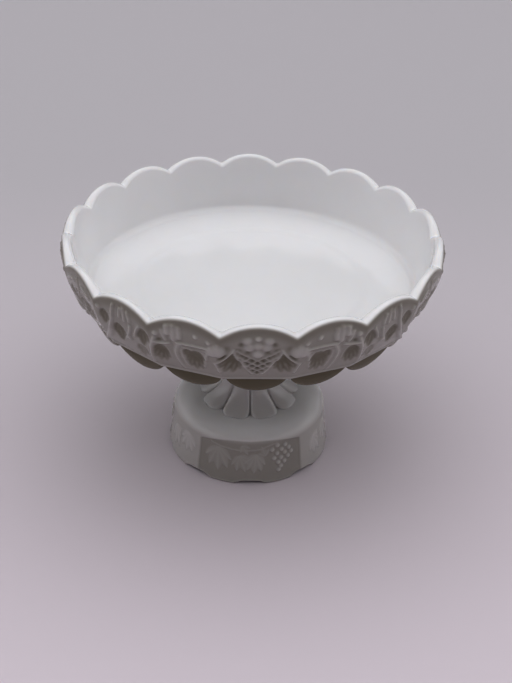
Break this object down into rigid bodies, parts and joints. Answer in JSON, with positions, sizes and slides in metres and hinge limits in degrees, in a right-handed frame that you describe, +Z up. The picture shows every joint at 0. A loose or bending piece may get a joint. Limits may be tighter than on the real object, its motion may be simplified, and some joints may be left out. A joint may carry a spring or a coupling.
{
  "type": "footed cake stand",
  "caption": "Footed cake stand in opaque white pressed glass, with a scalloped upright rim, grape relief, a ribbed stem and a hollow lobed foot.",
  "frame": {"origin": "centre of the foot, on the plane of the table that the foot's lobes rest on", "axes": "+Z up along the stem through the middle of the dish; -Y towards the panel that faces the front, with the grape cluster in its middle"},
  "size_m": [0.237, 0.234, 0.1635],
  "materials": {
    "dish_glass": "fire-polished opaque white glass",
    "wafer_glass": "fire-polished opaque white glass",
    "stem_glass": "fire-polished opaque white glass",
    "foot_glass": "fire-polished opaque white glass"
  },
  "bodies": {
    "root": {"dish": "dish_glass", "joining_wafer": "wafer_glass", "ribbed_stem": "stem_glass", "lobed_foot": "foot_glass"}
  },
  "joints": []
}
